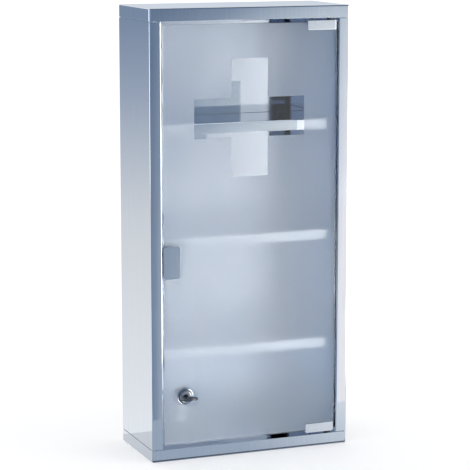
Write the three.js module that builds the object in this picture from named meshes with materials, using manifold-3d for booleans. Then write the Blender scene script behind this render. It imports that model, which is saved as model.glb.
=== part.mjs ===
// A wall cabinet for first aid supplies: a folded steel carcass with three shelves, and a frosted
// glass door with a clear cross, hung on two pivot hinges. The door has an edge pull, a magnetic
// catch and a cam lock with its key. Millimetres, +Z up. The origin is the middle of the underside,
// and the front faces -Y.

import * as THREE from 'three';
import { mergeVertices } from 'three/addons/utils/BufferGeometryUtils.js';
import Module from 'manifold-3d';

// Carcass: overall size, sheet and folds
const WIDTH = 282;
const DEPTH = 125;
const HEIGHT = 600;
const SHEET = 0.8;
const BEND_INSIDE = 0.8;
const CAP_SKIRT = 16.5;
const CAP_LEDGE = 18;
const STILE = 16;
const JAMB = 12;
const REAR_FLANGE = 14;
const TONGUE_CLEAR = 6;
const TONGUE_LAP = 6;
const TONGUE_MARGIN = 8;

// Clearances: a seam that shows, and pieces that touch
const SEAM = 0.8;
const FIT = 0.3;

// Back panel, its hanging slots and its rivets
const PANEL_EDGE = 1;
const PANEL_LAP = 8;
const KEYHOLE_SPACING = 180;
const KEYHOLE_DROP = 40;
const KEYHOLE_HEAD = 9;
const KEYHOLE_NECK = 4.5;
const KEYHOLE_RISE = 10;
const RIVET = 3.2;
const RIVET_HEAD = 6.4;
const RIVET_DOME = 1.4;
const RIVET_SHOULDER = 1.2;
const RIVET_END = 60;

// Shelves and the angles that carry them
const LOWEST_SHELF = 148;
const SHELF_PITCH = 150;
const SHELF_LIP = 14;
const SHELF_REAR_LIP = 8;
const SHELF_SETBACK = 20;
const SHELF_SIDE_GAP = 1.5;
const SHELF_REAR_GAP = 0.3;
const SHELF_LIP_GAP = 4;
const SHELF_NOTCH = 6;
const BRACKET_LEG = 10;
const BRACKET_LENGTH = 80;
const BRACKET_SETBACK = 12;

// Door glass and the clear cross in its frosting
const GLASS = 5;
const GLASS_RECESS = 3;
const GLASS_CORNER = 2;
const DOOR_FREE_GAP = 2.5;
const DOOR_HINGE_GAP = 1;
const DOOR_END_GAP = 5;
const FROST_DEPTH = 0.2;
const CROSS_SPAN = 156;
const CROSS_BAR = 52;
const CROSS_DROP = 123.5;

// Pivot hinges at the two corners on the right
const PIVOT_INSET = 9.5;
const CLAMP_INSET = 3;
const CLAMP_LENGTH = 41;
const CLAMP_COVER = 10.5;
const CLAMP_PLATE = 2;
const CLAMP_WEB = 1;
const CLAMP_CORNER = 1.5;
const LINER = 0.7;
const PIN = 4;
const PIN_HEAD = 7;
const PIN_HEAD_THICK = 0.5;
const BUSH_WALL = 1;
const BUSH_FLANGE = 8.8;
const BUSH_STAND = 1.5;

// Grub screws in the hinge clamps and in the pull
const GRUB = 4;
const GRUB_SOCKET = 2.2;
const GRUB_SOCKET_DEPTH = 1.2;
const GRUB_END_MARGIN = 9;

// Edge pull, and the magnetic catch behind it
const PULL_RISE = 246.5;
const PULL_HEIGHT = 43;
const PULL_REACH = 22.5;
const PULL_FRONT = 3.2;
const PULL_WEB = 1.2;
const PULL_BACK = 2;
const PULL_BACK_REACH = 18;
const PULL_CORNER = 3;
const PULL_PAD = 0.7;
const CATCH_HEIGHT = 28;
const CATCH_REACH = 13;
const MAGNET_WIDTH = 10;
const MAGNET_HEIGHT = 22;
const MAGNET_SEAT = 4;

// Cam lock and its key
const LOCK_INSET = 28.2;
const LOCK_RISE = 65.5;
const LOCK_RIM = 24;
const LOCK_RIM_THICK = 2.2;
const LOCK_RIM_BEVEL = 1;
const LOCK_COLLAR = 16;
const LOCK_COLLAR_RISE = 2.4;
const LOCK_BARREL = 18;
const GASKET = 0.8;
const GASKET_INSET = 0.6;
const NUT = 4;
const NUT_FLATS = 24;
const PLUG = 12;
const PLUG_RECESS = 0.4;
const DRIVE = 7;
const CAM = 2;
const CAM_CLEARANCE = 2.2;
const CAM_WIDTH = 14;
const CAM_REACH = 38;
const CAM_CORNER = 6.3;
const CAM_SCREW = 4;
const CAM_SCREW_DEPTH = 5;
const CAM_SCREW_HEAD = 8;
const CAM_SCREW_HEAD_THICK = 2.2;
const KEY_THICK = 2;
const KEY_BLADE = 8;
const KEY_BLADE_LENGTH = 9;
const KEY_NOTCH = 1.2;
const KEY_NOTCHES = 3;
const KEY_NECK = 9;
const KEY_NECK_LENGTH = 5;
const KEY_BOW_WIDTH = 24;
const KEY_BOW_LENGTH = 19;
const KEY_HOLE = 5;
const KEY_HOLE_MARGIN = 2.5;

// Facets: round pieces, small round pieces, each rounded corner, and each quarter of a hole
const ROUND = 32;
const SMALL_ROUND = 12;
const HEXAGON = 6;
const CORNER_STEPS = 2;
const BEVEL_STEPS = 3;
const HOLE_STEPS = 8;

// Planes and places that several pieces share
const bend = BEND_INSIDE + SHEET;
const frontY = -DEPTH / 2;
const rearY = DEPTH / 2;
const wallX = WIDTH / 2 - SHEET;
const openingHalf = WIDTH / 2 - STILE;
const openingBottom = CAP_SKIRT;
const openingTop = HEIGHT - CAP_SKIRT;
const panelRearY = rearY - SHEET - FIT;
const panelFrontY = panelRearY - SHEET;
const glassLeft = DOOR_FREE_GAP - openingHalf;
const glassRight = openingHalf - DOOR_HINGE_GAP;
const glassBottom = openingBottom + DOOR_END_GAP;
const glassTop = openingTop - DOOR_END_GAP;
const glassFrontY = frontY + GLASS_RECESS;
const glassMidY = glassFrontY + GLASS / 2;
const glassBackY = glassFrontY + GLASS;
const pivotX = glassRight - PIVOT_INSET;
const bushRadius = PIN / 2 + FIT + BUSH_WALL;
const shelfFrontY = frontY + SHELF_SETBACK;
const shelfRearY = panelFrontY - FIT - RIVET_DOME - SHELF_REAR_GAP;
const pullZ = glassBottom + PULL_RISE;
const pullBackY = GLASS / 2 + FIT + PULL_PAD + FIT;
const pullRearY = glassMidY + pullBackY + PULL_BACK;
const lockX = glassLeft + LOCK_INSET;
const lockZ = glassBottom + LOCK_RISE;
const rivetX = WIDTH / 2 - REAR_FLANGE / 2;
const shelfNames = ['lower', 'middle', 'upper'];
const rivetNames = ['bottom', 'lower', 'upper', 'top'];

const steel = new THREE.MeshStandardMaterial({ color: 0xb6c0cd, roughness: 0.22, metalness: 1 });
const chrome = new THREE.MeshStandardMaterial({ color: 0xc8d0d9, roughness: 0.16, metalness: 1 });
const zinc = new THREE.MeshStandardMaterial({ color: 0x9aa3ae, roughness: 0.4, metalness: 1 });
const nickel = new THREE.MeshStandardMaterial({ color: 0x888a8f, roughness: 0.25, metalness: 1 });
const frosted = new THREE.MeshStandardMaterial({
  color: 0xb4bfce,
  roughness: 0.6,
  metalness: 0,
  transparent: true,
  opacity: 0.7,
});
const nylon = new THREE.MeshStandardMaterial({ color: 0x393b3f, roughness: 0.55, metalness: 0 });
const vinyl = new THREE.MeshStandardMaterial({ color: 0xdcdfe0, roughness: 0.5, metalness: 0 });
const rubber = new THREE.MeshStandardMaterial({ color: 0x2b2d31, roughness: 0.85, metalness: 0 });
const ferrite = new THREE.MeshStandardMaterial({ color: 0x3d4046, roughness: 0.7, metalness: 0.2 });

const wasm = await Module();
wasm.setup();

// A closed geometry as a solid that can be joined and cut
function toSolid(geometry) {
  const bare = geometry.clone();
  bare.deleteAttribute('normal');
  bare.deleteAttribute('uv');
  const merged = mergeVertices(bare);
  const corners = merged.index.array;
  const triangles = [];
  for (let i = 0; i < corners.length; i += 3) {
    const [a, b, c] = [corners[i], corners[i + 1], corners[i + 2]];
    if (a !== b && b !== c && c !== a) {
      triangles.push(a, b, c);
    }
  }
  return new wasm.Manifold(new wasm.Mesh({
    numProp: 3,
    vertProperties: merged.attributes.position.array,
    triVerts: new Uint32Array(triangles),
  }));
}

function toGeometry(solid) {
  const mesh = solid.getMesh();
  const geometry = new THREE.BufferGeometry();
  geometry.setAttribute('position', new THREE.Float32BufferAttribute(mesh.vertProperties, 3));
  geometry.setIndex(new THREE.Uint32BufferAttribute(mesh.triVerts, 1));
  geometry.computeVertexNormals();
  return geometry;
}

// The first geometry with the others joined to it and the cutters taken away
function combine(first, joined, cutters = []) {
  let solid = toSolid(first);
  for (const geometry of joined) {
    solid = solid.add(toSolid(geometry));
  }
  for (const cutter of cutters) {
    solid = solid.subtract(toSolid(cutter));
  }
  return toGeometry(solid);
}

// A block between two values on each axis, given in either order
function block([x0, x1], [y0, y1], [z0, z1]) {
  const geometry = new THREE.BoxGeometry(Math.abs(x1 - x0), Math.abs(y1 - y0), Math.abs(z1 - z0));
  geometry.translate((x0 + x1) / 2, (y0 + y1) / 2, (z0 + z1) / 2);
  return geometry;
}

// A closed outline through corners given as [x, y, radius], with an arc at each rounded corner
function outline(corners) {
  const shape = new THREE.Shape();
  corners.forEach(([x, y, radius], i) => {
    const corner = new THREE.Vector2(x, y);
    const [beforeX, beforeY] = corners.at(i - 1);
    const [afterX, afterY] = corners[(i + 1) % corners.length];
    const toBefore = new THREE.Vector2(beforeX, beforeY).sub(corner).normalize();
    const toAfter = new THREE.Vector2(afterX, afterY).sub(corner).normalize();
    const halfAngle = toBefore.angleTo(toAfter) / 2;
    const start = toBefore.clone().multiplyScalar(radius / Math.tan(halfAngle)).add(corner);
    if (i === 0) {
      shape.moveTo(start.x, start.y);
    } else {
      shape.lineTo(start.x, start.y);
    }
    if (radius > 0) {
      const inward = toBefore.clone().add(toAfter).normalize();
      const centre = inward.multiplyScalar(radius / Math.sin(halfAngle)).add(corner);
      const end = toAfter.clone().multiplyScalar(radius / Math.tan(halfAngle)).add(corner);
      const startAngle = start.sub(centre).angle();
      const endAngle = end.sub(centre).angle();
      shape.absarc(centre.x, centre.y, radius, startAngle, endAngle, toBefore.cross(toAfter) > 0);
    }
  });
  shape.closePath();
  return shape;
}

function rectangle([x0, x1], [y0, y1], radius) {
  return outline([[x0, y0, radius], [x1, y0, radius], [x1, y1, radius], [x0, y1, radius]]);
}

function circle(x, y, radius) {
  return new THREE.Path().absarc(x, y, radius, 0, 2 * Math.PI);
}

// The section of a sheet folded along a path whose turns all go the same way. inward is the
// direction from the path to the sheet's other face at each corner.
function foldedSection(path, inward) {
  const last = path.length - 1;
  const outer = path.map(([x, y], i) => [x, y, i % last === 0 ? 0 : bend]);
  const inner = path.map(([x, y], i) => {
    const [offsetX, offsetY] = inward[i];
    return [x + offsetX * SHEET, y + offsetY * SHEET, i % last === 0 ? 0 : BEND_INSIDE];
  });
  return outline([...outer, ...inner.reverse()]);
}

// An outline in X and Y, raised from one height to another
function alongZ(shape, [z0, z1], curveSegments = CORNER_STEPS) {
  const geometry = new THREE.ExtrudeGeometry(shape, { depth: z1 - z0, bevelEnabled: false, curveSegments });
  geometry.translate(0, 0, z0);
  return geometry;
}

// An outline in X and Z, carried from one depth to another
function alongY(shape, [y0, y1], curveSegments = CORNER_STEPS) {
  const geometry = alongZ(shape, [-y1, -y0], curveSegments);
  geometry.rotateX(Math.PI / 2);
  return geometry;
}

// An outline in Y and Z, carried from one side to the other
function alongX(shape, [x0, x1]) {
  const geometry = alongZ(shape, [x0, x1]);
  const turn = new THREE.Matrix4().makeBasis(
    new THREE.Vector3(0, 1, 0),
    new THREE.Vector3(0, 0, 1),
    new THREE.Vector3(1, 0, 0),
  );
  geometry.applyMatrix4(turn);
  return geometry;
}

// A closed profile of [radius, distance] turned about the Y axis
function turnedY(profile, facets = ROUND) {
  const points = [...profile, profile[0]].map(([radius, y]) => new THREE.Vector2(radius, y));
  return new THREE.LatheGeometry(points, facets);
}

// The same, turned about the Z axis
function turnedZ(profile, facets = ROUND) {
  const geometry = turnedY(profile, facets);
  geometry.rotateX(Math.PI / 2);
  return geometry;
}

function cylinderY(radius, [y0, y1], facets = ROUND) {
  return turnedY([[0, y0], [radius, y0], [radius, y1], [0, y1]], facets);
}

function cylinderZ(radius, [z0, z1], facets = ROUND) {
  return turnedZ([[0, z0], [radius, z0], [radius, z1], [0, z1]], facets);
}

function addPiece(group, name, geometry, material) {
  const mesh = new THREE.Mesh(geometry, material);
  mesh.name = name;
  group.add(mesh);
  return mesh;
}

// A block with rounded upright corners and a rounded upper rim, from z = 0 up
function roundedLid(width, depth, height, corner, rim) {
  const shape = rectangle([-width / 2, width / 2], [-depth / 2, depth / 2], corner);
  return new THREE.ExtrudeGeometry(shape, {
    depth: height - rim,
    curveSegments: CORNER_STEPS,
    bevelThickness: rim,
    bevelSize: rim,
    bevelOffset: -rim,
    bevelSegments: BEVEL_STEPS,
  });
}

// A cap with its plate uppermost and its skirt's lower edge at z = 0. The front skirt is folded in
// to a ledge with a hole for the hinge bush.
function capGeometry(bushX) {
  const corner = bend + SHEET;
  const outside = roundedLid(WIDTH, DEPTH, CAP_SKIRT, corner, bend);
  const hollow = roundedLid(
    WIDTH - 2 * SHEET,
    DEPTH - 2 * SHEET,
    CAP_SKIRT - SHEET,
    corner - SHEET,
    BEND_INSIDE,
  );
  const below = block([-WIDTH, WIDTH], [-DEPTH, DEPTH], [-CAP_SKIRT, 0]);
  const ledge = block([-openingHalf, openingHalf], [frontY + SHEET / 2, frontY + CAP_LEDGE], [0, SHEET]);
  const bushHole = cylinderZ(bushRadius + FIT, [-SHEET, 2 * SHEET]);
  bushHole.translate(bushX, glassMidY, 0);
  const tray = combine(outside, [], [hollow, below]);
  return combine(tray, [ledge], [bushHole]);
}

function addCaps(group) {
  const top = addPiece(group, 'top_cap', capGeometry(pivotX), steel);
  top.position.z = openingTop;
  const bottom = addPiece(group, 'bottom_cap', capGeometry(-pivotX), steel);
  bottom.rotation.y = Math.PI;
  bottom.position.z = openingBottom;
}

// Heights of the rivets that hold the back panel, evenly between the two ends
function rivetHeights() {
  const lowest = openingBottom + RIVET_END;
  const pitch = (openingTop - RIVET_END - lowest) / (rivetNames.length - 1);
  return rivetNames.map((name, i) => lowest + i * pitch);
}

function rivetHoles(x) {
  return rivetHeights().map((z) => {
    const hole = cylinderY(RIVET / 2 + FIT, [panelFrontY - SHEET, rearY + SHEET], SMALL_ROUND);
    hole.translate(x, 0, z);
    return hole;
  });
}

// A side panel: jamb, stile, side and rear flange folded from one sheet, with a joggled tongue at
// each end that reaches into the cap. side is -1 on the left and 1 on the right.
function sidePanelGeometry(side) {
  const path = [
    [side * openingHalf, frontY + JAMB],
    [side * openingHalf, frontY],
    [side * WIDTH / 2, frontY],
    [side * WIDTH / 2, rearY],
    [side * (WIDTH / 2 - REAR_FLANGE), rearY],
  ];
  const inward = [[side, 0], [side, 1], [-side, 1], [-side, -1], [0, -1]];
  const heights = [openingBottom + SEAM, openingTop - SEAM];
  const panel = alongZ(foldedSection(path, inward), heights);
  const tongueX = wallX - FIT;
  const tongueY = [frontY + TONGUE_MARGIN, rearY - TONGUE_MARGIN];
  const rise = CAP_SKIRT - SHEET - TONGUE_CLEAR;
  const tongues = heights.flatMap((z, i) => {
    const outward = i === 0 ? -1 : 1;
    const lapZ = z - outward * TONGUE_LAP;
    const tongue = block(
      [side * tongueX, side * (tongueX - SHEET)],
      tongueY,
      [lapZ, z + outward * rise],
    );
    const joggle = block(
      [side * (wallX + SHEET / 2), side * (tongueX - SHEET)],
      tongueY,
      [lapZ, z - outward * TONGUE_LAP / 2],
    );
    return [tongue, joggle];
  });
  return combine(panel, tongues, rivetHoles(side * rivetX));
}

// The back panel lies inside the rear flanges, with a keyhole slot for each wall screw
function backPanelGeometry() {
  const half = wallX - PANEL_EDGE;
  const shape = rectangle([-half, half], [openingBottom - PANEL_LAP, openingTop + PANEL_LAP], 0);
  const neck = KEYHOLE_NECK / 2;
  const head = KEYHOLE_HEAD / 2;
  const shoulder = Math.asin(neck / head);
  const headZ = openingTop - KEYHOLE_DROP;
  for (const side of [-1, 1]) {
    const x = side * KEYHOLE_SPACING / 2;
    const slot = new THREE.Path();
    slot.absarc(x, headZ, head, Math.PI / 2 + shoulder, Math.PI / 2 - shoulder + 2 * Math.PI);
    slot.absarc(x, headZ + KEYHOLE_RISE, neck, 0, Math.PI);
    slot.closePath();
    shape.holes.push(slot);
  }
  const sheet = alongY(shape, [panelFrontY, panelRearY], HOLE_STEPS);
  return combine(sheet, [], [...rivetHoles(-rivetX), ...rivetHoles(rivetX)]);
}

// A rivet with its dome inside the cabinet and its tail short of the rear plane
function rivetGeometry() {
  const domeY = panelFrontY - FIT;
  const tailY = rearY - FIT;
  const head = RIVET_HEAD / 2;
  return turnedY([
    [0, domeY - RIVET_DOME],
    [head / 2, domeY - RIVET_SHOULDER],
    [head, domeY],
    [RIVET / 2, domeY],
    [RIVET / 2, tailY],
    [0, tailY],
  ], SMALL_ROUND);
}

function addRivets(group) {
  for (const [sideName, side] of [['left', -1], ['right', 1]]) {
    rivetHeights().forEach((z, i) => {
      const rivet = addPiece(group, `${sideName}_${rivetNames[i]}_rivet`, rivetGeometry(), zinc);
      rivet.position.set(side * rivetX, 0, z);
    });
  }
}

// A shelf with its upper face at z = 0: a front lip and a rear lip folded down, and the front
// corners notched so that the lip passes between the jambs
function shelfGeometry() {
  const half = wallX - SHELF_SIDE_GAP;
  const lipHalf = openingHalf - SHELF_LIP_GAP;
  const path = [
    [shelfFrontY, -SHELF_LIP],
    [shelfFrontY, 0],
    [shelfRearY, 0],
    [shelfRearY, -SHELF_REAR_LIP],
  ];
  const inward = [[1, 0], [1, -1], [-1, -1], [-1, 0]];
  const folded = alongX(foldedSection(path, inward), [-half, half]);
  const notches = [-1, 1].map((side) => block(
    [side * lipHalf, side * (half + SHEET)],
    [shelfFrontY - SHEET, shelfFrontY + SHELF_NOTCH],
    [-SHELF_LIP - SHEET, SHEET],
  ));
  return combine(folded, [], notches);
}

// An angle fixed to a side wall, with its upper leg under the shelf
function bracketGeometry(side) {
  const x = side * (wallX - FIT);
  const path = [[x, -BRACKET_LEG], [x, 0], [x - side * BRACKET_LEG, 0]];
  const inward = [[-side, 0], [-side, -1], [0, -1]];
  const section = foldedSection(path, inward);
  const nearY = shelfFrontY + BRACKET_SETBACK;
  return alongY(section, [nearY, nearY + BRACKET_LENGTH]);
}

function addShelves(group) {
  shelfNames.forEach((name, i) => {
    const z = LOWEST_SHELF + i * SHELF_PITCH;
    const shelf = addPiece(group, `${name}_shelf`, shelfGeometry(), steel);
    shelf.position.z = z;
    for (const [sideName, side] of [['left', -1], ['right', 1]]) {
      const bracket = addPiece(group, `${name}_${sideName}_bracket`, bracketGeometry(side), steel);
      bracket.position.z = z - SHEET - FIT;
    }
  });
}

// The glass is frosted on its inner face, and the clear cross keeps the full thickness
function glassGeometry() {
  const pane = rectangle([glassLeft, glassRight], [glassBottom, glassTop], GLASS_CORNER);
  pane.holes.push(circle(lockX, lockZ, LOCK_BARREL / 2 + FIT));
  const span = CROSS_SPAN / 2;
  const bar = CROSS_BAR / 2;
  const crossZ = glassTop - CROSS_DROP;
  const clearY = [glassMidY, glassBackY];
  const upright = block([-bar, bar], clearY, [crossZ - span, crossZ + span]);
  const arms = block([-span, span], clearY, [crossZ - bar, crossZ + bar]);
  return combine(alongY(pane, [glassFrontY, glassBackY - FROST_DEPTH], HOLE_STEPS), [upright, arms]);
}

// A grub screw along Y from its tip at one depth to its socketed end at another
function grubGeometry([tipY, endY]) {
  const screw = cylinderY(GRUB / 2, [tipY, endY], SMALL_ROUND);
  const socket = cylinderY(GRUB_SOCKET / 2, [endY - GRUB_SOCKET_DEPTH, endY + GRUB], HEXAGON);
  return combine(screw, [], [socket]);
}

// One pivot hinge, about its axis and from the glass edge: end is 1 above the glass and -1 below it.
// The clamp, its liner, its screws and its pin go with the door, and the bush stays in the cap.
function addHinge(group, name, end) {
  const hinge = new THREE.Group();
  hinge.position.set(pivotX, glassMidY, end > 0 ? glassTop : glassBottom);
  group.add(hinge);

  const headZ = [end * FIT, end * (FIT + PIN_HEAD_THICK)];
  const webZ = [headZ[1] + end * FIT, headZ[1] + end * (FIT + CLAMP_WEB)];
  const ledgeZ = end * DOOR_END_GAP;
  const bushEndZ = ledgeZ + end * (SHEET + BUSH_STAND);
  const coverZ = -end * CLAMP_COVER;
  const linerY = GLASS / 2 + FIT;
  const plateY = linerY + LINER + FIT;
  const right = PIVOT_INSET - CLAMP_INSET;
  const left = right - CLAMP_LENGTH;
  const grubXs = [left + GRUB_END_MARGIN, right - GRUB_END_MARGIN];

  const plateZ = [coverZ, webZ[1]].sort((a, b) => a - b);
  const plateShape = rectangle([left, right], plateZ, CLAMP_CORNER);
  const frontPlate = alongY(plateShape, [-plateY - CLAMP_PLATE, -plateY]);
  const backPlate = alongY(plateShape, [plateY, plateY + CLAMP_PLATE]);
  const web = block(
    [left + CLAMP_CORNER, right - CLAMP_CORNER],
    [-plateY - CLAMP_PLATE / 2, plateY + CLAMP_PLATE / 2],
    webZ,
  );
  const pinHole = cylinderZ(PIN / 2 + FIT, [-DOOR_END_GAP, DOOR_END_GAP]);
  const grubHoles = grubXs.map((x) => {
    const hole = cylinderY(GRUB / 2 + FIT, [linerY, plateY + 2 * CLAMP_PLATE], SMALL_ROUND);
    hole.translate(x, 0, coverZ / 2);
    return hole;
  });
  const clamp = combine(frontPlate, [backPlate, web], [pinHole, ...grubHoles]);
  addPiece(hinge, `${name}_hinge_clamp`, clamp, chrome);

  const linerX = [left + CLAMP_CORNER, right - CLAMP_CORNER];
  const linerFold = block(linerX, [-linerY - LINER, linerY + LINER], [headZ[0], headZ[0] + end * LINER]);
  const linerSides = [-1, 1].map((face) => block(
    linerX,
    [face * linerY, face * (linerY + LINER)],
    [coverZ + end * CLAMP_CORNER, headZ[0] + end * LINER],
  ));
  const headRoom = cylinderZ(PIN_HEAD / 2 + FIT, [0, end * DOOR_END_GAP].sort((a, b) => a - b));
  addPiece(hinge, `${name}_hinge_liner`, combine(linerFold, linerSides, [headRoom]), vinyl);

  grubXs.forEach((x, i) => {
    const grub = grubGeometry([plateY, plateY + CLAMP_PLATE]);
    const screw = addPiece(hinge, `${name}_hinge_grub_${i + 1}`, grub, zinc);
    screw.position.set(x, 0, coverZ / 2);
  });

  const pinRadius = PIN / 2;
  const pinProfile = [
    [0, FIT],
    [PIN_HEAD / 2, FIT],
    [PIN_HEAD / 2, FIT + PIN_HEAD_THICK],
    [pinRadius, FIT + PIN_HEAD_THICK],
    [pinRadius, Math.abs(bushEndZ)],
    [0, Math.abs(bushEndZ)],
  ];
  const bore = pinRadius + FIT;
  const bushProfile = [
    [bore, Math.abs(webZ[1]) + FIT],
    [BUSH_FLANGE / 2, Math.abs(webZ[1]) + FIT],
    [BUSH_FLANGE / 2, DOOR_END_GAP - FIT],
    [bushRadius, DOOR_END_GAP - FIT],
    [bushRadius, Math.abs(bushEndZ)],
    [bore, Math.abs(bushEndZ)],
  ];
  const pin = addPiece(hinge, `${name}_hinge_pin`, turnedZ(pinProfile), nickel);
  const bush = addPiece(hinge, `${name}_hinge_bush`, turnedZ(bushProfile), nylon);
  for (const turned of [pin, bush]) {
    turned.rotation.x = end > 0 ? 0 : Math.PI;
  }
}

// The pull folds round the free edge of the glass: a flat front plate, a web across the edge and
// a back plate whose grub screws press a pad against the glass
function addPull(group) {
  const pull = new THREE.Group();
  pull.position.set(glassLeft, glassMidY, pullZ);
  group.add(pull);

  const half = PULL_HEIGHT / 2;
  const outerX = -FIT - PULL_WEB;
  const frontY1 = -GLASS / 2 - FIT;
  const frontY0 = frontY1 - PULL_FRONT;
  const backY = [pullBackY, pullBackY + PULL_BACK];
  const grubX = PULL_BACK_REACH / 2;
  const grubZs = [-half + GRUB_END_MARGIN, half - GRUB_END_MARGIN];

  const front = alongY(rectangle([outerX, PULL_REACH], [-half, half], PULL_CORNER), [frontY0, frontY1]);
  const back = alongY(rectangle([outerX, PULL_BACK_REACH], [-half, half], PULL_CORNER), backY);
  const web = block(
    [outerX, -FIT],
    [frontY1 - PULL_FRONT / 2, pullBackY + PULL_BACK / 2],
    [-half + PULL_CORNER, half - PULL_CORNER],
  );
  const grubHoles = grubZs.map((z) => {
    const hole = cylinderY(GRUB / 2 + FIT, [pullBackY - FIT, backY[1] + FIT], SMALL_ROUND);
    hole.translate(grubX, 0, z);
    return hole;
  });
  addPiece(pull, 'door_pull', combine(front, [back, web], grubHoles), chrome);

  const padY = GLASS / 2 + FIT;
  const pad = alongY(
    rectangle([0, PULL_BACK_REACH], [-half + PULL_CORNER, half - PULL_CORNER], 0),
    [padY, padY + PULL_PAD],
  );
  addPiece(pull, 'door_pull_pad', pad, vinyl);

  grubZs.forEach((z, i) => {
    const screw = addPiece(pull, `door_pull_grub_${i + 1}`, grubGeometry(backY), zinc);
    screw.position.set(grubX, 0, z);
  });
}

// The catch fills the space between the jamb and the shelves' front, and its magnet meets the
// pull's back plate
function addCatch(group) {
  const housingFrontY = Math.max(frontY + JAMB, pullRearY) + FIT;
  const housingRearY = shelfFrontY - FIT;
  const magnetX = [glassLeft, glassLeft + MAGNET_WIDTH];
  const magnetZ = [pullZ - MAGNET_HEIGHT / 2, pullZ + MAGNET_HEIGHT / 2];
  const seatY = housingFrontY + MAGNET_SEAT;
  const body = block(
    [-wallX + FIT, glassLeft + CATCH_REACH],
    [housingFrontY, housingRearY],
    [pullZ - CATCH_HEIGHT / 2, pullZ + CATCH_HEIGHT / 2],
  );
  const pocket = block(
    [magnetX[0] - FIT, magnetX[1] + FIT],
    [housingFrontY - FIT, seatY],
    [magnetZ[0] - FIT, magnetZ[1] + FIT],
  );
  addPiece(group, 'catch_housing', combine(body, [], [pocket]), nylon);
  addPiece(group, 'catch_magnet', block(magnetX, [pullRearY + FIT, seatY - FIT], magnetZ), ferrite);
}

// Distances along the lock's axis from the front of the glass, inward positive
const rimBack = -GASKET - 2 * FIT;
const rimFront = rimBack - LOCK_RIM_THICK;
const collarFront = rimFront - LOCK_COLLAR_RISE;
const barrelRear = Math.max(JAMB - GLASS_RECESS + CAM_CLEARANCE, GLASS + NUT + 2 * FIT);
const plugFront = collarFront + PLUG_RECESS;
const camFront = barrelRear + FIT;
const camRear = camFront + CAM;
const keyTip = plugFront + KEY_BLADE_LENGTH;

function lockHousingGeometry() {
  const bore = PLUG / 2 + FIT;
  const rim = LOCK_RIM / 2;
  const collar = LOCK_COLLAR / 2;
  const barrel = LOCK_BARREL / 2;
  return turnedY([
    [bore, collarFront],
    [collar - LOCK_RIM_BEVEL, collarFront],
    [collar, collarFront + LOCK_RIM_BEVEL],
    [collar, rimFront],
    [rim - LOCK_RIM_BEVEL, rimFront],
    [rim, rimFront + LOCK_RIM_BEVEL],
    [rim, rimBack],
    [barrel, rimBack],
    [barrel, barrelRear],
    [bore, barrelRear],
  ]);
}

function lockGasketGeometry() {
  const bore = LOCK_BARREL / 2 + FIT;
  const rim = LOCK_RIM / 2 - GASKET_INSET;
  return turnedY([[bore, -FIT - GASKET], [rim, -FIT - GASKET], [rim, -FIT], [bore, -FIT]]);
}

function lockNutGeometry() {
  const cornerRadius = NUT_FLATS / 2 / Math.cos(Math.PI / HEXAGON);
  const nutY = [GLASS + FIT, GLASS + FIT + NUT];
  const hexagon = cylinderY(cornerRadius, nutY, HEXAGON);
  const bore = cylinderY(LOCK_BARREL / 2 + FIT, [nutY[0] - NUT, nutY[1] + NUT]);
  return combine(hexagon, [], [bore]);
}

// The plug has a flat keyway in front, and a square drive and a screw hole behind
function lockPlugGeometry() {
  const core = cylinderY(PLUG / 2, [plugFront, barrelRear]);
  const drive = block([-DRIVE / 2, DRIVE / 2], [barrelRear - FIT, camRear], [-DRIVE / 2, DRIVE / 2]);
  const keyway = block(
    [-KEY_BLADE / 2 - FIT, KEY_BLADE / 2 + FIT],
    [plugFront - FIT, keyTip + FIT],
    [-KEY_THICK / 2 - FIT, KEY_THICK / 2 + FIT],
  );
  const screwHole = cylinderY(
    CAM_SCREW / 2 + FIT,
    [camRear - CAM_SCREW_DEPTH - FIT, camRear + FIT],
    SMALL_ROUND,
  );
  return combine(core, [drive], [keyway, screwHole]);
}

// The cam hangs down when it is open, and a quarter turn carries its tongue behind the jamb
function lockCamGeometry() {
  const half = CAM_WIDTH / 2;
  const plate = rectangle([-half, half], [-CAM_REACH, half], CAM_CORNER);
  const hole = DRIVE / 2 + FIT;
  plate.holes.push(rectangle([-hole, hole], [-hole, hole], 0));
  return alongY(plate, [camFront, camRear], BEVEL_STEPS);
}

function camScrewGeometry() {
  const head = CAM_SCREW_HEAD / 2;
  const headY = camRear + FIT;
  return turnedY([
    [0, camRear - CAM_SCREW_DEPTH],
    [CAM_SCREW / 2, camRear - CAM_SCREW_DEPTH],
    [CAM_SCREW / 2, headY],
    [head, headY],
    [head, headY + CAM_SCREW_HEAD_THICK / 2],
    [head / 2, headY + CAM_SCREW_HEAD_THICK],
    [0, headY + CAM_SCREW_HEAD_THICK],
  ], SMALL_ROUND);
}

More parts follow.
